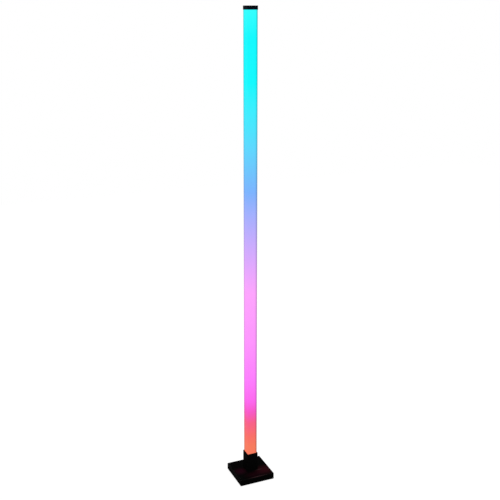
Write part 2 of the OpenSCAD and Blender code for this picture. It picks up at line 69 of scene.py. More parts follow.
BAR_HALF = SPINE_HIGH.x
COVER_WALL = 2*MM
COVER_CHAMFER = 1.2*MM
COVER_EDGE = 1.2*MM
POST_RADIUS = 4.5*MM
PLATE_TOP = 4*MM
SOCKET_WALL = 2.6*MM
SOCKET_GAP = 0.2*MM
SOCKET_EDGE = 1.5*MM
SOCKET_CHAMFER = 0.4*MM
SOCKET_HALF = BAR_HALF + SOCKET_GAP + SOCKET_WALL
WINDOW_GAP = 0.1*MM
FLANGE_TOP = DIFFUSER_LOW.z
FLANGE_SCREW_INSET = 4*MM
FLANGE_SCREW_HOLE = 2.05*MM
CHANNEL_SCREW_HOLE = 1.75*MM
GROMMET_HOLE = 3.55*MM
GROMMET_AT = Vector((2*MM, 2*MM, 0))
DIFFUSER_WALL = 1.5*MM
DIFFUSER_EDGE = 2*MM
CAP_CHAMFER = 0.6*MM
CAP_WALL = 3*MM
INLET_HOLE = 4*MM
SCREW_RADIUS = 1.5*MM
SCREW_HEAD = 3*MM
SCREW_HEAD_HEIGHT = 1.6*MM
SCREW_TIP = 0.4*MM
SCREW_GAP = 0.05*MM
COVER_SCREW_LENGTH = 9*MM
PILOT_END = 11.8*MM
FOOT_RADIUS = 9*MM
FOOT_HOLE = 3.75*MM
FOOT_AT = FEET_HIGH.x - FOOT_RADIUS
CHANNEL = Vector((CHANNEL_SCREWS_LOW.x + SCREW_HEAD, CHANNEL_SCREWS_HIGH.x - SCREW_HEAD))
AXIS_Z = (PIN_LOW.z + PIN_HIGH.z)/2
PIN_X = (PIN_LOW.x + PIN_HIGH.x)/2
BUTTON_X = (BUTTON_LOW.x + BUTTON_HIGH.x)/2
BUTTON_RADIUS = 3.1*MM
BUTTON_FLANGE = (BUTTON_HIGH.x - BUTTON_LOW.x)/2
BUTTON_FLANGE_DEPTH = 1.2*MM
BUTTON_GAP = 0.1*MM


# ---- Mesh tools ----

def block(low, high):
    """A block between two corners."""
    bm = bmesh.new()
    bmesh.ops.create_cube(bm, size=1)
    size = Vector(high) - Vector(low)
    bmesh.ops.scale(bm, vec=size, verts=bm.verts)
    bmesh.ops.translate(bm, vec=Vector(low) + size/2, verts=bm.verts)
    return bm


def tube(radius, low, high, segments=48, end_radius=None):
    """A round bar along Z from low to high, or a cone where the end's radius is given."""
    bm = bmesh.new()
    end = radius if end_radius is None else end_radius
    bmesh.ops.create_cone(
        bm, cap_ends=True, segments=segments, radius1=radius, radius2=end, depth=high - low)
    bmesh.ops.translate(bm, vec=(0, 0, (low + high)/2), verts=bm.verts)
    return bm


def turned(outline, segments=64):
    """A solid of revolution round Z, from (radius, height) points that end on the axis or close up."""
    bm = bmesh.new()
    verts = [bm.verts.new((r, 0, z)) for r, z in outline]
    edges = [bm.edges.new(pair) for pair in zip(verts, verts[1:])]
    if outline[0][0] > 0:
        edges.append(bm.edges.new((verts[-1], verts[0])))
    bmesh.ops.spin(
        bm, geom=verts + edges, cent=(0, 0, 0), axis=(0, 0, 1), angle=2*math.pi,
        steps=segments, use_merge=True, use_duplicate=False)
    bmesh.ops.remove_doubles(bm, verts=bm.verts, dist=1e-6)
    bmesh.ops.recalc_face_normals(bm, faces=bm.faces)
    return bm


def moved(bm, at, turn=None):
    """The same mesh, turned and then moved."""
    if turn is not None:
        bmesh.ops.transform(bm, matrix=turn, verts=bm.verts)
    bmesh.ops.translate(bm, vec=at, verts=bm.verts)
    return bm


def bevel(bm, edges, width, segments):
    bmesh.ops.bevel(
        bm, geom=edges, offset=width, affect="EDGES", segments=segments, profile=0.5,
        material=-1, clamp_overlap=True)


def upright_edges(bm):
    return [e for e in bm.edges if (e.verts[0].co - e.verts[1].co).xy.length < 1e-7]


def edges_at(bm, z):
    return [e for e in bm.edges if all(abs(v.co.z - z) < 1e-7 for v in e.verts)]


def scratch_object(bm):
    mesh = bpy.data.meshes.new("scratch")
    bm.to_mesh(mesh)
    bm.free()
    made = bpy.data.objects.new("scratch", mesh)
    bpy.context.scene.collection.objects.link(made)
    return made


def combined(bm, others, operation):
    """The mesh with each of the others cut out of it (DIFFERENCE) or joined to it (UNION)."""
    target = scratch_object(bm)
    tools = [scratch_object(other) for other in others]
    for tool in tools:
        modifier = target.modifiers.new("combine", "BOOLEAN")
        modifier.operation = operation
        modifier.solver = "EXACT"
        modifier.object = tool
    view = bpy.context.evaluated_depsgraph_get()
    result = bmesh.new()
    result.from_object(target, view)
    for made in [target, *tools]:
        bpy.data.objects.remove(made)
    bmesh.ops.remove_doubles(result, verts=result.verts, dist=1e-6)
    return result


def cut(bm, others):
    return combined(bm, others, "DIFFERENCE")


def joined(bm, others):
    return combined(bm, others, "UNION")


def repeated(bm, places):
    """The same shape at several places, as one mesh."""
    mesh = bpy.data.meshes.new("scratch")
    bm.to_mesh(mesh)
    bm.free()
    whole = bmesh.new()
    for place in places:
        before = len(whole.verts)
        whole.from_mesh(mesh)
        whole.verts.ensure_lookup_table()
        bmesh.ops.translate(whole, vec=place, verts=whole.verts[before:])
    bpy.data.meshes.remove(mesh)
    return whole


def corners(distance):
    return [Vector((x, y, 0)) for x in (-distance, distance) for y in (-distance, distance)]


def both_walls():
    """The two places of what stands on a screw channel: one on each back wall."""
    return [Vector((CHANNEL.x, CHANNEL.y, 0)), Vector((CHANNEL.y, CHANNEL.x, 0))]


def cross_recess(depth, width, reach):
    """The two arms of a cross that is cut into a screw's head, as deep below z = 0 as above it."""
    return [
        block((-reach, -width, -depth), (reach, width, depth)),
        block((-width, -reach, -depth), (width, reach, depth)),
    ]


def edge_finish(piece, width):
    """Rounds the sharp edges a little, and shades the flat faces flat."""
    if width:
        rounding = piece.modifiers.new("edge rounding", "BEVEL")
        rounding.width = width
        rounding.segments = 2
        rounding.limit_method = "ANGLE"
        rounding.angle_limit = math.radians(35)
        rounding.use_clamp_overlap = True
    piece.data.shade_smooth()
    shading = piece.modifiers.new("face shading", "WEIGHTED_NORMAL")
    shading.weight = 100
    shading.keep_sharp = True


def new_piece(name, bm, material, replaced, body="lamp", rounding=0.15*MM):
    mesh = bpy.data.meshes.new(name)
    bm.to_mesh(mesh)
    bm.free()
    mesh.materials.append(material)
    piece = bpy.data.objects.new(name, mesh)
    bpy.context.scene.collection.objects.link(piece)
    edge_finish(piece, rounding)
    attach(piece, body)
    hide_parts(*replaced)
    return piece


# ---- Shader tools ----

def linear(r, g, b):
    """A colour written as 0 to 255 values, as the shader takes it."""
    def channel(value):
        part = value/255
        return part/12.92 if part <= 0.04045 else ((part + 0.055)/1.055)**2.4
    return (channel(r), channel(g), channel(b), 1)


BLACK = (0, 0, 0, 1)
WHITE = (1, 1, 1, 1)


def add(tree, kind, inputs=None, **settings):
    """Adds a node, and sets or links its inputs by name or by number."""
    node = tree.nodes.new(kind)
    for name, value in settings.items():
        setattr(node, name, value)
    for name, value in (inputs or {}).items():
        if isinstance(value, bpy.types.NodeSocket):
            tree.links.new(value, node.inputs[name])
        else:
            node.inputs[name].default_value = value
    return node


def math_node(tree, operation, a, b, clamp=False):
    return add(tree, "ShaderNodeMath", {0: a, 1: b}, operation=operation, use_clamp=clamp).outputs[0]


def ramp(tree, factor, low, high, to_low=0.0, to_high=1.0):
    """A value taken from one range to another, and kept in it."""
    inputs = {"Value": factor, "From Min": low, "From Max": high, "To Min": to_low, "To Max": to_high}
    return add(tree, "ShaderNodeMapRange", inputs, clamp=True).outputs["Result"]


def smooth_ramp(tree, factor, low, high, to_low, to_high):
    """A value taken from one range to another, with a soft start and a soft end."""
    inputs = {"Value": factor, "From Min": low, "From Max": high, "To Min": to_low, "To Max": to_high}
    node = add(tree, "ShaderNodeMapRange", inputs, interpolation_type="SMOOTHSTEP")
    return node.outputs["Result"]


def mix_colour(tree, factor, a, b):
    node = add(tree, "ShaderNodeMix", data_type="RGBA", blend_type="MIX")
    for socket, value in ((node.inputs[0], factor), (node.inputs[6], a), (node.inputs[7], b)):
        if isinstance(value, bpy.types.NodeSocket):
            tree.links.new(value, socket)
        else:
            socket.default_value = value
    return node.outputs[2]


def new_group(name, inputs, outputs):
    """An empty node group with float inputs and float outputs. Returns it, its inputs and its outputs."""
    group = bpy.data.node_groups.new(name, "ShaderNodeTree")
    for label, default in inputs.items():
        socket = group.interface.new_socket(label, in_out="INPUT", socket_type="NodeSocketFloat")
        socket.default_value = default
    for label in outputs:
        group.interface.new_socket(label, in_out="OUTPUT", socket_type="NodeSocketFloat")
    inner = group.nodes.new("NodeGroupInput").outputs
    outer = group.nodes.new("NodeGroupOutput").inputs
    return group, inner, outer


def new_light_group(name):
    """An empty node group that puts out one colour. Returns it and its output."""
    group = bpy.data.node_groups.new(name, "ShaderNodeTree")
    group.interface.new_socket("Colour", in_out="OUTPUT", socket_type="NodeSocketColor")
    return group, group.nodes.new("NodeGroupOutput").inputs["Colour"]


def noise(tree, place, scale, detail=3.0, rough=0.55):
    inputs = {"Vector": place, "Scale": scale, "Detail": detail, "Roughness": rough}
    return add(tree, "ShaderNodeTexNoise", inputs).outputs["Fac"]


def object_place(tree, stretch=(1, 1, 1)):
    place = add(tree, "ShaderNodeTexCoord").outputs["Object"]
    if stretch == (1, 1, 1):
        return place
    return add(tree, "ShaderNodeMapping", {"Vector": place, "Scale": stretch}).outputs["Vector"]


def powder_coat_group():
    """Orange peel of a baked powder coat: soft dimples with fine specks between them."""
    group, given, result = new_group("Powder coat", {"Size": 1.2*MM}, ("Height", "Mask"))
    place = object_place(group)
    scale = math_node(group, "DIVIDE", 1.0, given["Size"])
    peel = noise(group, place, scale, 1.5, 0.4)
    specks = noise(group, place, math_node(group, "MULTIPLY", scale, 5.0), 2.0, 0.6)
    height = math_node(group, "ADD", math_node(group, "MULTIPLY", peel, 0.75),
                       math_node(group, "MULTIPLY", specks, 0.25))
    group.links.new(height, result["Height"])
    group.links.new(ramp(group, specks, 0.35, 0.65), result["Mask"])
    return group


def moulded_grain_group():
    """Spark-eroded grain of a moulded plastic: small closed cells."""
    group, given, result = new_group("Moulded grain", {"Size": 0.6*MM}, ("Height", "Mask"))
    place = object_place(group)
    scale = math_node(group, "DIVIDE", 1.0, given["Size"])
    cells = add(group, "ShaderNodeTexVoronoi", {"Vector": place, "Scale": scale}, feature="SMOOTH_F1")
    clouds = noise(group, place, math_node(group, "MULTIPLY", scale, 0.1), 2.0)
    group.links.new(cells.outputs["Distance"], result["Height"])
    group.links.new(ramp(group, clouds, 0.3, 0.7), result["Mask"])
    return group


def drawn_lines_group():
    """Die lines of an extruded profile: streaks that run along Z."""
    group, given, result = new_group("Drawn lines", {"Size": 0.8*MM}, ("Height", "Mask"))
    place = object_place(group, (1, 1, 0.004))
    scale = math_node(group, "DIVIDE", 1.0, given["Size"])
    fine = noise(group, place, scale, 3.0, 0.7)
    broad = noise(group, place, math_node(group, "MULTIPLY", scale, 0.15), 2.0, 0.5)
    group.links.new(fine, result["Height"])
    streaks = math_node(group, "ADD", math_node(group, "MULTIPLY", fine, 0.5),
                        math_node(group, "MULTIPLY", broad, 0.5))
    group.links.new(ramp(group, streaks, 0.38, 0.62), result["Mask"])
    return group


def cast_skin_group():
    """Rough skin of a sand casting."""
    group, given, result = new_group("Cast skin", {"Size": 2*MM}, ("Height", "Mask"))
    place = object_place(group)
    scale = math_node(group, "DIVIDE", 1.0, given["Size"])
    skin = noise(group, place, scale, 6.0, 0.65)
    group.links.new(skin, result["Height"])
    group.links.new(ramp(group, skin, 0.35, 0.7), result["Mask"])
    return group


def edge_wear_group():
    """Where edges are rubbed: a mask that is broken up by noise."""
    group, given, result = new_group("Edge wear", {"Radius": 0.5*MM}, ("Mask",))
    rounded = add(group, "ShaderNodeBevel", {"Radius": given["Radius"]}, samples=4).outputs["Normal"]
    facing = add(group, "ShaderNodeNewGeometry").outputs["Normal"]
    agreement = add(group, "ShaderNodeVectorMath", {0: rounded, 1: facing}, operation="DOT_PRODUCT")
    edge = ramp(group, agreement.outputs["Value"], 0.99, 0.85)
    patches = ramp(group, noise(group, object_place(group), 120.0, 4.0, 0.6), 0.4, 0.6, 0.35, 1.0)
    group.links.new(math_node(group, "MULTIPLY", edge, patches), result["Mask"])
    return group


def dust_group():
    """Fine dust on faces that look up."""
    group, given, result = new_group("Dust", {"Amount": 0.1}, ("Mask",))
    normal = add(group, "ShaderNodeNewGeometry").outputs["Normal"]
    up = add(group, "ShaderNodeSeparateXYZ", {"Vector": normal}).outputs["Z"]
    place = object_place(group)
    specks = ramp(group, noise(group, place, 2500.0, 2.0, 0.7), 0.55, 0.75)
    clouds = ramp(group, noise(group, place, 60.0, 3.0), 0.35, 0.75)
    both = math_node(group, "ADD", specks, clouds)
    lying = math_node(group, "MULTIPLY", ramp(group, up, 0.6, 1.0), both)
    group.links.new(math_node(group, "MULTIPLY", lying, given["Amount"], True), result["Mask"])
    return group


POWDER_COAT = powder_coat_group()
MOULDED_GRAIN = moulded_grain_group()
DRAWN_LINES = drawn_lines_group()
CAST_SKIN = cast_skin_group()
EDGE_WEAR = edge_wear_group()
DUST = dust_group()
DUST_COLOUR = (0.2, 0.19, 0.18, 1)


# ---- Light of the column, on its own faces and on the pieces beside them ----

# Colours of the fade, by height in metres above the floor
FADE = [
    (0.105, (250, 125, 95)),
    (0.140, (251, 112, 105)),
    (0.185, (250, 97, 139)),
    (0.220, (250, 90, 200)),
    (0.255, (255, 105, 240)),
    (0.320, (255, 125, 255)),
    (0.45, (255, 150, 255)),
    (0.60, (255, 165, 255)),
    (0.70, (220, 170, 255)),
    (0.90, (125, 180, 255)),
    (1.08, (75, 230, 255)),
    (1.20, (20, 250, 255)),
    (1.32, (20, 250, 255)),
    (1.385, (50, 255, 255)),
]
# What is left of the light at the lips, and how far from them it is whole again
LIP_DIM = 0.72
LIP_DIM_REACH = 6*MM


def light_fade_group():
    """Colour of the lit faces by height, and how it dims towards the lips."""
    group, result = new_light_group("Light fade")
    place = add(group, "ShaderNodeSeparateXYZ", {"Vector": object_place(group)}).outputs
    low, high = FADE[0][0], FADE[-1][0]
    blend = add(group, "ShaderNodeValToRGB", {"Fac": ramp(group, place["Z"], low, high)})
    stops = blend.color_ramp.elements
    for height, colour in FADE[1:-1]:
        stops.new((height - low)/(high - low)).color = linear(*colour)
    stops[0].color = linear(*FADE[0][1])
    stops[-1].color = linear(*FADE[-1][1])
    # Each lit wall ends at its lip, where less light reaches it
    furthest = math_node(group, "MAXIMUM", place["X"], place["Y"])
    from_lip = math_node(group, "SUBTRACT", DIFFUSER_HIGH.x, furthest)
    dim = smooth_ramp(group, from_lip, 0.0, LIP_DIM_REACH, LIP_DIM, 1.0)
    soft = ramp(group, noise(group, object_place(group), 35.0, 1.0), 0.3, 0.7, 0.985, 1.0)
    shaded = add(group, "ShaderNodeVectorMath", {0: blend.outputs["Color"]}, operation="SCALE")
    group.links.new(math_node(group, "MULTIPLY", dim, soft), shaded.inputs["Scale"])
    group.links.new(shaded.outputs["Vector"], result)
    return group


LIGHT_FADE = light_fade_group()

# Painted light on the base's top, put in as emission: three patches of painted light from the lit faces
# and two painted highlight streaks. Each has the middle of its patch, its reach along X and Y, and its
# colour as 0 to 255 values
PAINTED_BASE_LIGHT_PATCHES = [
    # painted light from the lit faces
    ((40*MM, -26*MM), (44*MM, 34*MM), (40, 4, 12)),
    ((-36*MM, -6*MM), (30*MM, 26*MM), (27, 0, 11)),
    ((-2*MM, -38*MM), (46*MM, 22*MM), (20, 0, 5)),
    # painted highlight streak along the socket's foot on its -Y side
    ((21*MM, -18.8*MM), (18*MM, 2.4*MM), (36, 28, 28)),
    # painted highlight along the top chamfer of the base's -Y side
    ((2*MM, -53.4*MM), (44*MM, 1.8*MM), (62, 36, 40)),
]
# Painted light on the lips, put in as emission: the share of the fade's colour on them, and where it
# starts to end and ends round their corners
PAINTED_LIP_LIGHT = 0.5
PAINTED_LIP_LIGHT_START = 0.1*MM
PAINTED_LIP_LIGHT_END = 0.7*MM
# Painted light of the column's end on the cap, put in as emission, as 0 to 255 values
PAINTED_CAP_LIGHT = (2, 12, 26)


def painted_base_light_group():
    """Painted light on the base's top, put in as emission: light from the two lit faces and two highlight
    streaks, each fading round the middle of its patch.
    """
    group, result = new_light_group("Painted light on the base")
    place = object_place(group)
    normal = add(group, "ShaderNodeNewGeometry").outputs["Normal"]
    up = add(group, "ShaderNodeSeparateXYZ", {"Vector": normal}).outputs["Z"]
    facing_up = ramp(group, up, 0.5, 0.9)
    total = (0.0, 0.0, 0.0)
    for middle, reach, colour in PAINTED_BASE_LIGHT_PATCHES:
        centre = Vector((*middle, BASE_HIGH.z))
        share = Vector((1/reach[0], 1/reach[1], 1/BASE_HIGH.z))
        away = add(group, "ShaderNodeVectorMath", {0: place, 1: centre}, operation="SUBTRACT").outputs[0]
        away = add(group, "ShaderNodeVectorMath", {0: away, 1: share}, operation="MULTIPLY").outputs[0]
        apart = add(group, "ShaderNodeVectorMath", {0: away}, operation="LENGTH").outputs["Value"]
        level = math_node(group, "MULTIPLY", smooth_ramp(group, apart, 0.0, 1.0, 1.0, 0.0), facing_up)
        patch = mix_colour(group, level, BLACK, linear(*colour))
        total = add(group, "ShaderNodeVectorMath", {0: patch, 1: total}, operation="ADD").outputs[0]
    group.links.new(total, result)
    return group


def painted_lip_light_group():
    """Painted light of the diffuser on the lips beside it, put in as emission, which ends a little way
    round the corner.
    """
    group, result = new_light_group("Painted light on the lips")
    fade = add(group, "ShaderNodeGroup", node_tree=LIGHT_FADE).outputs["Colour"]
    place = add(group, "ShaderNodeSeparateXYZ", {"Vector": object_place(group)}).outputs
    nearest = math_node(group, "MINIMUM", place["X"], place["Y"])
    level = ramp(
        group, nearest, PAINTED_LIP_LIGHT_START - BAR_HALF, PAINTED_LIP_LIGHT_END - BAR_HALF, PAINTED_LIP_LIGHT, 0.0)
    shaded = add(group, "ShaderNodeVectorMath", {0: fade, "Scale": level}, operation="SCALE")
    group.links.new(shaded.outputs["Vector"], result)
    return group


def painted_cap_light_group():
    """Painted light of the two lit faces, put in as emission, on the lower part of the cap's sides above
    them.
    """
    group, result = new_light_group("Painted light on the cap")
    height = add(group, "ShaderNodeSeparateXYZ", {"Vector": object_place(group)}).outputs["Z"]
    level = ramp(group, height, SPINE_HIGH.z, CAP_HIGH.z - CAP_CHAMFER, 1.0, 0.0)
    normal = add(group, "ShaderNodeNewGeometry").outputs["Normal"]
    facing = add(group, "ShaderNodeSeparateXYZ", {"Vector": normal}).outputs
    above_light = ramp(group, math_node(group, "MINIMUM", facing["X"], facing["Y"]), -0.5, -0.9)
    level = math_node(group, "MULTIPLY", level, above_light)
    group.links.new(mix_colour(group, level, BLACK, linear(*PAINTED_CAP_LIGHT)), result)
    return group


# ---- Finishes ----

def new_material(name):
    material = bpy.data.materials.new(name)
    material.use_nodes = True
    material.node_tree.nodes.clear()
    return material, material.node_tree


def to_output(tree, shader, kind="ShaderNodeOutputMaterial"):
    """Sends a shader to the output of a material, or of the world."""
    tree.links.new(shader, add(tree, kind).inputs["Surface"])


def surface(name, texture, size, tone, other_tone, roughness, spread, relief, metallic=0.0, specular=0.5,
            worn=(0.03, 0.03, 0.03), wear=0.0, polish=0.0, dust=0.0, painted_light=None):
    """A finish. A texture mixes two close tones, swings the roughness by the spread and raises the
    relief, in metres. Edges wear to another colour and are polished, dust lies on top, and painted_light
    is a group's painted light, put in as emission."""
    material, tree = new_material(name)
    pattern = add(tree, "ShaderNodeGroup", {"Size": size}, node_tree=texture).outputs
    edge = add(tree, "ShaderNodeGroup", node_tree=EDGE_WEAR).outputs["Mask"]
    tint = mix_colour(tree, pattern["Mask"], (*tone, 1), (*other_tone, 1))
    tint = mix_colour(tree, math_node(tree, "MULTIPLY", edge, wear), tint, (*worn, 1))
    if dust:
        lying = add(tree, "ShaderNodeGroup", {"Amount": dust}, node_tree=DUST).outputs["Mask"]
        tint = mix_colour(tree, lying, tint, DUST_COLOUR)
    bumped = add(tree, "ShaderNodeBump", {"Height": pattern["Height"], "Distance": relief})
    shader = add(tree, "ShaderNodeBsdfPrincipled", {
        "Base Color": tint,
        "Roughness": ramp(tree, pattern["Mask"], 0.0, 1.0, roughness - spread, roughness + spread),
        "Metallic": metallic,
        "Specular IOR Level": specular,
        "Normal": bumped.outputs["Normal"],
    })
    if polish:
        tree.links.new(math_node(tree, "MULTIPLY", edge, polish), shader.inputs["Coat Weight"])
        shader.inputs["Coat Roughness"].default_value = 0.25
    # Painted light from a group goes in as emission
    if painted_light:
        light = add(tree, "ShaderNodeGroup", node_tree=painted_light).outputs["Colour"]
        tree.links.new(light, shader.inputs["Emission Color"])
        shader.inputs["Emission Strength"].default_value = 1.0
    to_output(tree, shader.outputs["BSDF"])
    return material


# The coat's emission is painted light and painted highlights from the group above
BASE_COAT = surface(
    "satin powder coat", POWDER_COAT, 1.2*MM, (0.0003, 0.0003, 0.0003), (0.0028, 0.0025, 0.0026),
    roughness=0.36, spread=0.08, relief=0.06*MM, specular=0.0006, wear=0.25, polish=0.6,
    dust=0.0015, painted_light=painted_base_light_group())
SOCKET_COAT = surface(
    "satin powder coat on the socket", POWDER_COAT, 1.2*MM,
    (0.0003, 0.0003, 0.0003), (0.0030, 0.0029, 0.0030),
    roughness=0.36, spread=0.08, relief=0.06*MM, specular=0.0006, wear=0.25, polish=0.6)
# The cap's emission is painted light from the group above
CAP_PLASTIC = surface(
    "satin moulded cap", MOULDED_GRAIN, 0.5*MM, (0.0010, 0.0012, 0.0014), (0.0018, 0.0020, 0.0023),
    roughness=0.4, spread=0.05, relief=0.015*MM, specular=0.005, wear=0.15, polish=0.3,
    dust=0.002, painted_light=painted_cap_light_group())
# The extrusion's emission is painted light on the lips from the group above
ANODISED = surface(
    "black anodised extrusion", DRAWN_LINES, 0.8*MM, (0.004, 0.004, 0.0045), (0.011, 0.011, 0.012),
    roughness=0.36, spread=0.08, relief=0.01*MM, metallic=0.5, specular=0.08,
    worn=(0.1, 0.1, 0.1), wear=0.3, painted_light=painted_lip_light_group())
PLATE_PLASTIC = surface(
    "textured bottom plate", MOULDED_GRAIN, 0.9*MM, (0.02, 0.02, 0.021), (0.026, 0.026, 0.027),
    roughness=0.6, spread=0.08, relief=0.05*MM, specular=0.35)
FOOT_RUBBER = surface(
    "foot rubber", MOULDED_GRAIN, 0.7*MM, (0.028, 0.028, 0.03), (0.04, 0.04, 0.042),
    roughness=0.78, spread=0.06, relief=0.03*MM, specular=0.25, dust=0.1)
GROMMET_RUBBER = surface(
    "grommet rubber", MOULDED_GRAIN, 0.5*MM, (0.03, 0.03, 0.032), (0.04, 0.04, 0.042),
    roughness=0.7, spread=0.06, relief=0.02*MM, specular=0.3)
CAST_IRON = surface(
    "cast iron", CAST_SKIN, 2*MM, (0.08, 0.08, 0.083), (0.13, 0.128, 0.125),
    roughness=0.62, spread=0.12, relief=0.2*MM, metallic=0.7)
SCREW_STEEL = surface(
    "zinc plated steel", CAST_SKIN, 0.6*MM, (0.52, 0.53, 0.55), (0.66, 0.67, 0.69),
    roughness=0.3, spread=0.08, relief=0.01*MM, metallic=1.0)
SCREW_BLACK = surface(
    "black oxide steel", CAST_SKIN, 0.5*MM, (0.02, 0.02, 0.022), (0.035, 0.035, 0.038),
    roughness=0.38, spread=0.06, relief=0.01*MM, metallic=0.6, specular=0.1,
    worn=(0.12, 0.12, 0.12), wear=0.3)
BUTTON_PLASTIC = surface(
    "satin button", MOULDED_GRAIN, 0.4*MM, (0.035, 0.035, 0.039), (0.045, 0.045, 0.05),
    roughness=0.42, spread=0.05, relief=0.01*MM, specular=0.4)
INLET_PLASTIC = surface(
    "inlet plastic", MOULDED_GRAIN, 0.4*MM, (0.016, 0.016, 0.018), (0.022, 0.022, 0.024),
    roughness=0.45, spread=0.06, relief=0.01*MM, specular=0.4)
PIN_PLATING = surface(
    "gold plated brass", CAST_SKIN, 0.8*MM, (0.72, 0.58, 0.3), (0.83, 0.7, 0.42),
    roughness=0.24, spread=0.06, relief=0.005*MM, metallic=1.0)
COMPONENT_PLASTIC = surface(
    "moulded components", MOULDED_GRAIN, 0.3*MM, (0.026, 0.026, 0.028), (0.034, 0.034, 0.037),
    roughness=0.55, spread=0.08, relief=0.01*MM, specular=0.4)
CONNECTOR_PLASTIC = surface(
    "connector nylon", MOULDED_GRAIN, 0.4*MM, (0.82, 0.81, 0.77), (0.88, 0.87, 0.84),
    roughness=0.48, spread=0.05, relief=0.01*MM)
PLUNGER_PLASTIC = surface(
    "plunger nylon", MOULDED_GRAIN, 0.4*MM, (0.74, 0.74, 0.71), (0.82, 0.82, 0.79),
    roughness=0.45, spread=0.05, relief=0.01*MM)
MODULE_TIN = surface(
    "tinned can", CAST_SKIN, 1.5*MM, (0.62, 0.63, 0.64), (0.72, 0.73, 0.74),
    roughness=0.3, spread=0.08, relief=0.01*MM, metallic=1.0)
BOARD_MASK = surface(
    "solder mask", CAST_SKIN, 4*MM, (0.02, 0.12, 0.06), (0.035, 0.18, 0.09),
    roughness=0.32, spread=0.06, relief=0.01*MM)
STRIP_FILM = surface(
    "strip film", DRAWN_LINES, 2*MM, (0.84, 0.84, 0.82), (0.9, 0.9, 0.88),
    roughness=0.5, spread=0.06, relief=0.01*MM)
CHIP_RESIN = surface(
    "chip resin", CAST_SKIN, 1*MM, (0.95, 0.9, 0.72), (0.98, 0.94, 0.8),
    roughness=0.22, spread=0.05, relief=0.01*MM)
WIRE_SLEEVE = surface(
    "wire sleeve", DRAWN_LINES, 1*MM, (0.8, 0.8, 0.78), (0.86, 0.86, 0.84),
    roughness=0.5, spread=0.06, relief=0.01*MM)

# The diffuser's own light and what it reflects add up to the fade's colour
GLOW_SHARE = 0.9
OWN_SHARE = 0.1


def opal_diffuser():
    """Opal plastic that glows: most of its colour is its own light."""
    material, tree = new_material("opal diffuser")
    fade = add(tree, "ShaderNodeGroup", node_tree=LIGHT_FADE).outputs["Colour"]
    grain = add(tree, "ShaderNodeGroup", {"Size": 0.4*MM}, node_tree=MOULDED_GRAIN).outputs
    bumped = add(tree, "ShaderNodeBump", {"Height": grain["Height"], "Distance": 0.003*MM})
    own = mix_colour(tree, 1 - OWN_SHARE, fade, BLACK)
    shader = add(tree, "ShaderNodeBsdfPrincipled", {
        "Base Color": own,
        "Roughness": ramp(tree, grain["Mask"], 0.0, 1.0, 0.5, 0.6),
        "Specular IOR Level": 0.015,
        "Emission Color": fade,
        "Emission Strength": GLOW_SHARE,
        "Normal": bumped.outputs["Normal"],
    })
    to_output(tree, shader.outputs["BSDF"])
    return material


OPAL = opal_diffuser()


# ---- Base ----

def base_shell():
    """Cover of the base: chamfered, with a window for the socket and two holes in its rear wall."""
    inside = BASE_HIGH.x - COVER_WALL
    under = BASE_HIGH.z - COVER_WALL
    window = SOCKET_HALF + WINDOW_GAP
    window_chamfer = 0.5*MM
    hole_start, hole_length = inside - 2*MM, 8*MM
    shell = block(BASE_LOW, (BASE_HIGH.x, -BASE_LOW.y, BASE_HIGH.z))
    bevel(shell, upright_edges(shell), COVER_EDGE, 6)
    bevel(shell, edges_at(shell, BASE_HIGH.z), COVER_CHAMFER, 1)
    shell = cut(shell, [block((-inside, -inside, 0), (inside, inside, under))])
    posts = [moved(tube(POST_RADIUS, PLATE_TOP, under + COVER_WALL/4), at) for at in corners(FOOT_AT)]
    shell = joined(shell, posts)
    opening = block((-window, -window, 0), (window, window, 2*BASE_HIGH.z))
    bevel(opening, upright_edges(opening), SOCKET_EDGE, 6)
    flare = tube(window*math.sqrt(2), 0, window_chamfer*2, 4, (window + 2*window_chamfer)*math.sqrt(2))
    moved(flare, (0, 0, BASE_HIGH.z - window_chamfer), Matrix.Rotation(math.radians(45), 4, "Z"))
    to_rear = Matrix.Rotation(math.radians(-90), 4, "X")
    holes = [
        moved(tube(INLET_HOLE, 0, hole_length), (PIN_X, hole_start, AXIS_Z), to_rear),
        moved(tube(BUTTON_RADIUS + BUTTON_GAP, 0, hole_length), (BUTTON_X, hole_start, AXIS_Z), to_rear),
    ]
    pilots = [moved(tube(SCREW_RADIUS + SCREW_GAP, 0, PILOT_END), at) for at in corners(FOOT_AT)]
    shell = cut(shell, [opening, flare, *holes, *pilots])
    return new_piece("base_shell", shell, BASE_COAT, ["base_cover"], rounding=0.2*MM)


def feet():
    """Rubber rings with fine grip ribs underneath."""
    rib_pitch, rib_depth = 0.9*MM, 0.35*MM
    inner_edge, outer_edge = 0.3*MM, 0.4*MM
    outline = [(FOOT_HOLE, FEET_HIGH.z), (FOOT_HOLE, inner_edge), (FOOT_HOLE + inner_edge, 0)]
    radius = FOOT_HOLE + 0.8*MM
    while radius + rib_pitch < FOOT_RADIUS - outer_edge:
        outline += [(radius, 0), (radius + 0.25*rib_pitch, rib_depth),
                    (radius + 0.5*rib_pitch, rib_depth), (radius + 0.75*rib_pitch, 0)]
        radius += rib_pitch
    outline += [(FOOT_RADIUS - outer_edge, 0), (FOOT_RADIUS, outer_edge), (FOOT_RADIUS, FEET_HIGH.z)]
    ring = turned(outline, 48)
    bm = repeated(ring, corners(FOOT_AT))
    return new_piece("grip_feet", bm, FOOT_RUBBER, ["rubber_feet"], rounding=0)


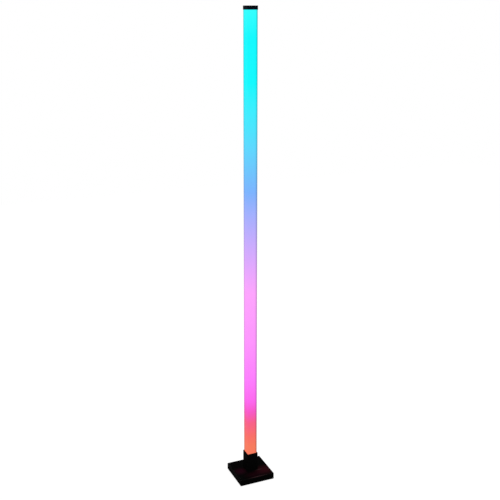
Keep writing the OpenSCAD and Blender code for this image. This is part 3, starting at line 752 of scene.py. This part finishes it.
def socket():
    """Square tube that holds the column, with the flange that is screwed under the cover."""
    bore = BAR_HALF + SOCKET_GAP
    tube_low = Vector((-SOCKET_HALF, -SOCKET_HALF, FLANGE_TOP - 1*MM))
    sleeve = block(tube_low, (SOCKET_HALF, SOCKET_HALF, SOCKET_HIGH.z))
    bevel(sleeve, upright_edges(sleeve), SOCKET_EDGE, 6)
    bevel(sleeve, edges_at(sleeve, SOCKET_HIGH.z), SOCKET_CHAMFER, 1)
    flange = block(SOCKET_LOW, (SOCKET_HIGH.x, SOCKET_HIGH.y, FLANGE_TOP))
    sleeve = joined(sleeve, [flange])
    hollow = block((-bore, -bore, FLANGE_TOP), (bore, bore, 2*SOCKET_HIGH.z))
    low, high = SOCKET_LOW.z - 1*MM, FLANGE_TOP + 1*MM
    flange_screws = corners(SOCKET_HIGH.x - FLANGE_SCREW_INSET)
    holes = [moved(tube(FLANGE_SCREW_HOLE, low, high), at) for at in flange_screws]
    holes += [moved(tube(CHANNEL_SCREW_HOLE, low, high), at) for at in both_walls()]
    holes.append(moved(tube(GROMMET_HOLE, low, high), GROMMET_AT))
    sleeve = cut(sleeve, [hollow, *holes])
    return new_piece("socket_sleeve", sleeve, SOCKET_COAT, ["socket_collar"])


def cover_fasteners():
    """The four screws up through the feet, with round heads and cross recesses."""
    seat = FEET_HIGH.z
    head, end = seat - SCREW_HEAD_HEIGHT, seat + COVER_SCREW_LENGTH
    shape = turned([
        (0, head), (1.6*MM, seat - 1.55*MM), (2.6*MM, seat - 1.2*MM), (SCREW_HEAD, seat - 0.7*MM),
        (SCREW_HEAD, seat), (SCREW_RADIUS, seat), (SCREW_RADIUS, end - SCREW_TIP),
        (SCREW_RADIUS - SCREW_TIP, end), (0, end)])
    shape = cut(shape, [moved(arm, (0, 0, head)) for arm in cross_recess(1*MM, 0.35*MM, 1.6*MM)])
    bm = repeated(shape, corners(FOOT_AT))
    return new_piece(
        "cover_fasteners", bm, SCREW_STEEL, ["cover_screws"], rounding=0.06*MM)


# ---- Column ----

def diffuser():
    """L-shaped opal cover with a round front edge and a snap leg at each end."""
    end, inner, outer = DIFFUSER_HIGH.x, -BAR_HALF + DIFFUSER_WALL, -BAR_HALF
    leg_tip, leg_near, leg_far = inner + 4.2*MM, end - 1.7*MM, end - 0.5*MM
    wall = [
        (end, outer), (end, inner),
        (leg_far, inner), (leg_far, leg_tip), (leg_near, leg_tip), (leg_near, inner)]
    other_wall = [(y, x) for x, y in reversed(wall)]
    outline = [(outer, outer), *wall, (inner, inner), *other_wall]
    bm = bmesh.new()
    face = bm.faces.new([bm.verts.new((x, y, DIFFUSER_LOW.z)) for x, y in outline])
    grown = bmesh.ops.extrude_face_region(bm, geom=[face])["geom"]
    risen = [v for v in grown if isinstance(v, bmesh.types.BMVert)]
    bmesh.ops.translate(bm, vec=(0, 0, DIFFUSER_HIGH.z - DIFFUSER_LOW.z), verts=risen)
    bmesh.ops.recalc_face_normals(bm, faces=bm.faces)
    front = [e for e in upright_edges(bm) if max(e.verts[0].co.xy) < outer + MM/2]
    bevel(bm, front, DIFFUSER_EDGE, 12)
    return new_piece("opal_cover", bm, OPAL, ["diffuser_cover"], rounding=0.1*MM)


def cap():
    """End cap with chamfered top edges, two bosses, two tongues and two sunk screw holes."""
    foot = SPINE_HIGH.z
    half = CAP_HIGH.x
    hollow = half - CAP_WALL
    boss_radius, upright_radius = 3.8*MM, 0.5*MM
    tongue_wall, tongue_half = 1.5*MM, 7*MM
    shell = block((-half, -half, foot), CAP_HIGH)
    bevel(shell, upright_edges(shell), upright_radius, 4)
    bevel(shell, edges_at(shell, CAP_HIGH.z), CAP_CHAMFER, 1)
    shell = cut(shell, [block((-hollow, -hollow, 0), (hollow, hollow, CAP_HIGH.z - CAP_WALL))])
    rooted = CAP_HIGH.z - CAP_WALL/2
    bosses = [moved(tube(boss_radius, foot, rooted), at) for at in both_walls()]
    tongue = DIFFUSER_WALL - BAR_HALF + SOCKET_GAP
    tongue_end = tongue + tongue_wall
    bosses += [
        block((tongue, -tongue_half, CAP_LOW.z), (tongue_end, tongue_half, rooted)),
        block((-tongue_half, tongue, CAP_LOW.z), (tongue_half, tongue_end, rooted)),
    ]
    shell = joined(shell, bosses)
    just_above = CAP_HIGH.z + 0.001*MM
    sinks = []
    for at in both_walls():
        sinks.append(moved(tube(SCREW_RADIUS + SCREW_GAP, foot - MM, CAP_HIGH.z + MM), at))
        sink = tube(SCREW_RADIUS + SCREW_GAP, -SCREW_HEAD_HEIGHT, 0, 48, SCREW_HEAD + SCREW_GAP)
        sinks.append(moved(sink, at + Vector((0, 0, just_above))))
    shell = cut(shell, sinks)
    return new_piece("end_cap", shell, CAP_PLASTIC, ["top_cap"], rounding=0.12*MM)


def cap_fasteners():
    """Two flush screws in the cap, with cross recesses."""
    top = CAP_HIGH.z
    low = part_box("top_cap_screws")[0].z
    shape = turned([
        (0, low), (SCREW_RADIUS - SCREW_TIP, low), (SCREW_RADIUS, low + 0.5*MM),
        (SCREW_RADIUS, top - SCREW_HEAD_HEIGHT), (SCREW_HEAD - 0.05*MM, top - 0.1*MM),
        (SCREW_HEAD - 0.1*MM, top), (0, top)])
    shape = cut(shape, [moved(arm, (0, 0, top)) for arm in cross_recess(1.1*MM, 0.35*MM, 1.7*MM)])
    bm = repeated(shape, both_walls())
    return new_piece(
        "cap_fasteners", bm, SCREW_BLACK, ["top_cap_screws"], rounding=0.05*MM)


# ---- Button ----

def button():
    """Round button with a dished end and a flange that keeps it in."""
    length = BUTTON_HIGH.y - BUTTON_LOW.y
    edge, corner = 0.4*MM, 0.12*MM
    shape = turned([
        (0, 0), (BUTTON_FLANGE, 0),
        (BUTTON_FLANGE, BUTTON_FLANGE_DEPTH), (BUTTON_RADIUS, BUTTON_FLANGE_DEPTH),
        (BUTTON_RADIUS, length - edge), (BUTTON_RADIUS - corner, length - corner),
        (BUTTON_RADIUS - edge, length), (BUTTON_RADIUS - 0.7*MM, length),
        (1.6*MM, length - 0.22*MM), (0.8*MM, length - 0.3*MM), (0, length - 0.32*MM)])
    moved(shape, (BUTTON_X, BUTTON_LOW.y, AXIS_Z), Matrix.Rotation(math.radians(-90), 4, "X"))
    return new_piece(
        "press_button", shape, BUTTON_PLASTIC, ["power_button"], "button", rounding=0)


base_shell()
feet()
socket()
cover_fasteners()
diffuser()
cap()
cap_fasteners()
button()

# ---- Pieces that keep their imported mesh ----

KEPT = {
    "ballast_block": CAST_IRON,
    "bottom_plate": PLATE_PLASTIC,
    "socket_screws": SCREW_STEEL,
    "column_screws": SCREW_STEEL,
    "cable_grommet": GROMMET_RUBBER,
    "spine_profile": ANODISED,
    "led_strip": STRIP_FILM,
    "led_chips": CHIP_RESIN,
    "strip_connector": CONNECTOR_PLASTIC,
    "controller_board": BOARD_MASK,
    "board_screws": SCREW_STEEL,
    "control_module": MODULE_TIN,
    "power_components": COMPONENT_PLASTIC,
    "board_connector": CONNECTOR_PLASTIC,
    "dc_inlet": INLET_PLASTIC,
    "dc_inlet_pin": PIN_PLATING,
    "switch_body": COMPONENT_PLASTIC,
    "switch_plunger": PLUNGER_PLASTIC,
    "wire_harness": WIRE_SLEEVE,
}
for name, material in KEPT.items():
    nodes[name].data.materials.clear()
    nodes[name].data.materials.append(material)

# ---- Stage, light and camera ----

FLOOR_SIZE = 8.0
FLOOR_COLOUR = (0.8, 0.8, 0.8, 1)
FLOOR_WHITE_LEVEL = 1.12
FLOOR_WHITE_SHARE = 0.8
WORLD_LEVEL = 0.75


def shown_background(tree):
    """1 where a ray shows the background or its reflection, and 0 where it only lights the object."""
    path = add(tree, "ShaderNodeLightPath").outputs
    seen = math_node(tree, "MAXIMUM", path["Is Camera Ray"], path["Is Glossy Ray"])
    return math_node(tree, "MAXIMUM", seen, path["Is Transmission Ray"])


def floor():
    """White floor: it shows as the background's white, less a faint shadow."""
    bm = bmesh.new()
    bmesh.ops.create_grid(bm, x_segments=1, y_segments=1, size=FLOOR_SIZE/2)
    mesh = bpy.data.meshes.new("studio_floor")
    bm.to_mesh(mesh)
    bm.free()
    material, tree = new_material("studio floor")
    lit = add(tree, "ShaderNodeBsdfDiffuse", {"Color": FLOOR_COLOUR})
    white = add(tree, "ShaderNodeEmission", {"Color": WHITE, "Strength": FLOOR_WHITE_LEVEL})
    share = math_node(tree, "MULTIPLY", shown_background(tree), FLOOR_WHITE_SHARE)
    mixed = add(tree, "ShaderNodeMixShader", {"Fac": share})
    tree.links.new(lit.outputs[0], mixed.inputs[1])
    tree.links.new(white.outputs[0], mixed.inputs[2])
    to_output(tree, mixed.outputs[0])
    mesh.materials.append(material)
    plane = bpy.data.objects.new("studio_floor", mesh)
    bpy.context.scene.collection.objects.link(plane)


def world():
    made = bpy.data.worlds.new("studio")
    made.use_nodes = True
    tree = made.node_tree
    tree.nodes.clear()
    strength = ramp(tree, shown_background(tree), 0.0, 1.0, WORLD_LEVEL, 1.0)
    background = add(tree, "ShaderNodeBackground", {"Color": WHITE, "Strength": strength})
    to_output(tree, background.outputs[0], "ShaderNodeOutputWorld")
    bpy.context.scene.world = made


def aimed(obj, place, target):
    obj.location = place
    obj.rotation_euler = (Vector(target) - Vector(place)).to_track_quat("-Z", "Y").to_euler()
    bpy.context.scene.collection.objects.link(obj)


def area_lamp(name, place, target, size, watts):
    data = bpy.data.lights.new(name, "AREA")
    data.shape = "RECTANGLE"
    data.size, data.size_y = size
    data.energy = watts
    lamp = bpy.data.objects.new(name, data)
    lamp.visible_camera = False
    aimed(lamp, place, target)


def camera():
    """Camera at the height of the cap that looks down at the middle of the lamp."""
    yaw, down = math.radians(-23.4), math.radians(16.657)
    back, aside, eye_height = 2.2298, -0.0012, 1.396
    data = bpy.data.cameras.new("camera")
    data.sensor_width = 36
    data.lens = 58.468
    data.clip_start = 0.01
    ahead = Vector((-math.sin(yaw), math.cos(yaw), 0))
    right = Vector((math.cos(yaw), math.sin(yaw), 0))
    place = right*aside - ahead*back + Vector((0, 0, eye_height))
    made = bpy.data.objects.new("camera", data)
    aimed(made, place, place + ahead*math.cos(down) - Vector((0, 0, math.sin(down))))
    bpy.context.scene.camera = made


floor()
world()
area_lamp("soft key", (-1.6, -1.9, 2.2), (0, 0, 0.6), (1.6, 1.6), 22)
area_lamp("soft fill", (2.2, -0.6, 1.6), (0, 0, 0.7), (1.4, 1.4), 10)
area_lamp("rear light", (0.6, 2.2, 1.8), (0, 0, 0.7), (1.4, 1.4), 10)
camera()
bpy.context.scene.view_settings.view_transform = "Standard"
